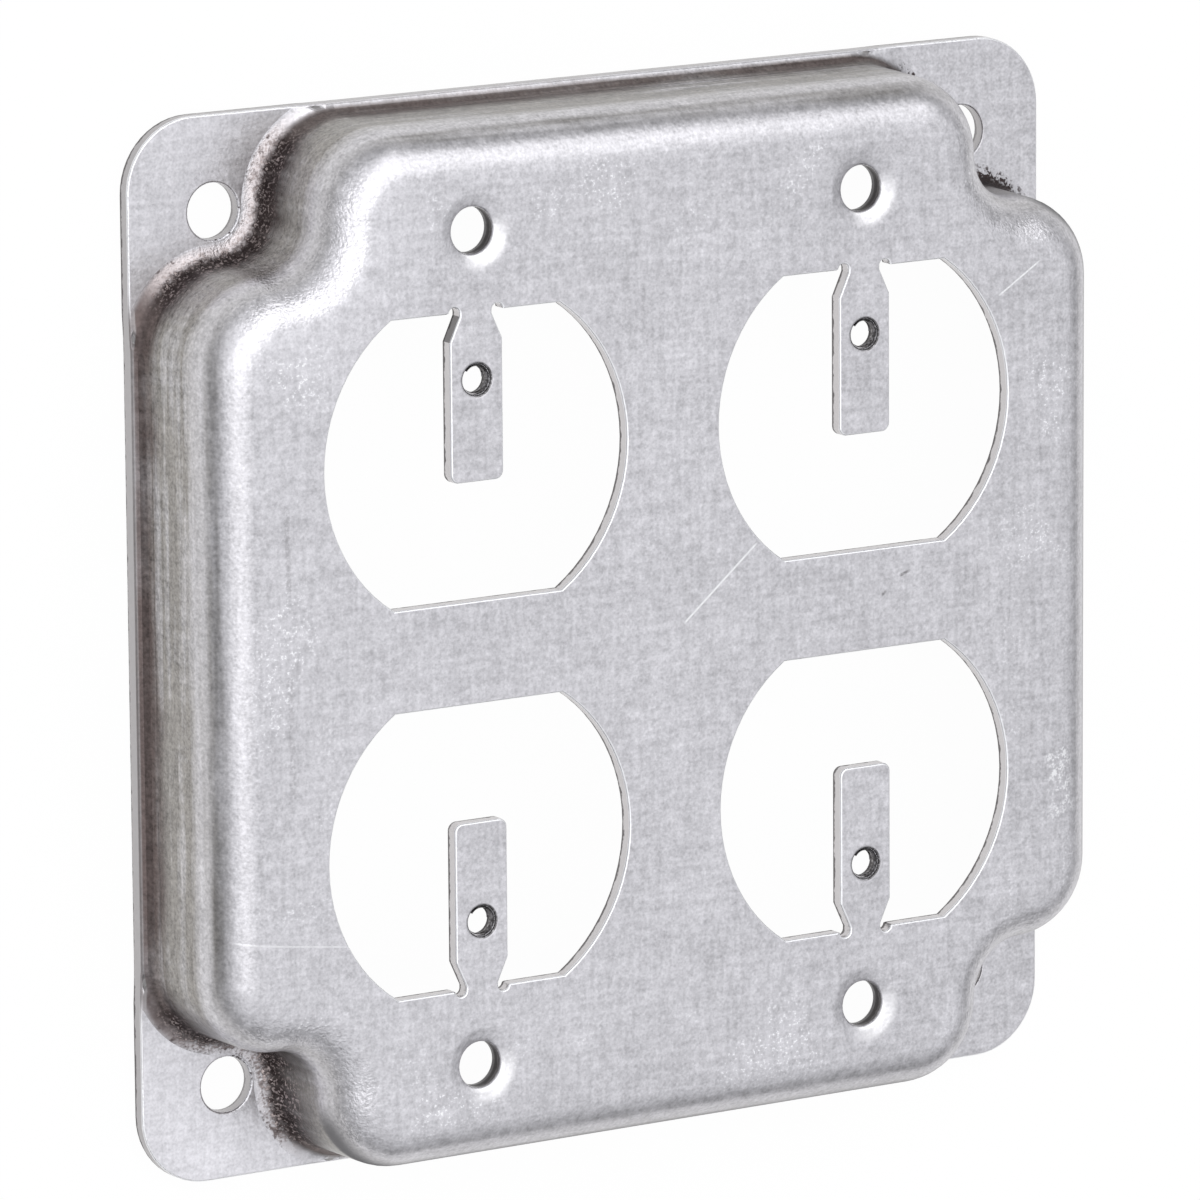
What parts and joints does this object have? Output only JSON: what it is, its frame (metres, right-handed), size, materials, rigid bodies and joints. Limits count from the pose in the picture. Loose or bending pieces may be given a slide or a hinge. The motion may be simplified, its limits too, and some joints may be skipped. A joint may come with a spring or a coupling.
{
  "type": "square box device cover",
  "caption": "Raised square cover of pressed galvanised steel for an electrical box, with duplex device openings, tapped tabs and crushed corners.",
  "frame": {"origin": "centre of the flange's back, on the plane that it rests on", "axes": "+Z out of the raised face, +X to the picture's right and +Y to the picture's top, both along the flange's sides"},
  "size_m": [0.1064, 0.1064, 0.0159],
  "materials": {
    "galvanised_sheet": "mill finish of galvanised sheet, dull grey with a fine mottle, drawing streaks and scuffs"
  },
  "bodies": {
    "root": {"raised_cover": "galvanised_sheet"}
  },
  "joints": []
}
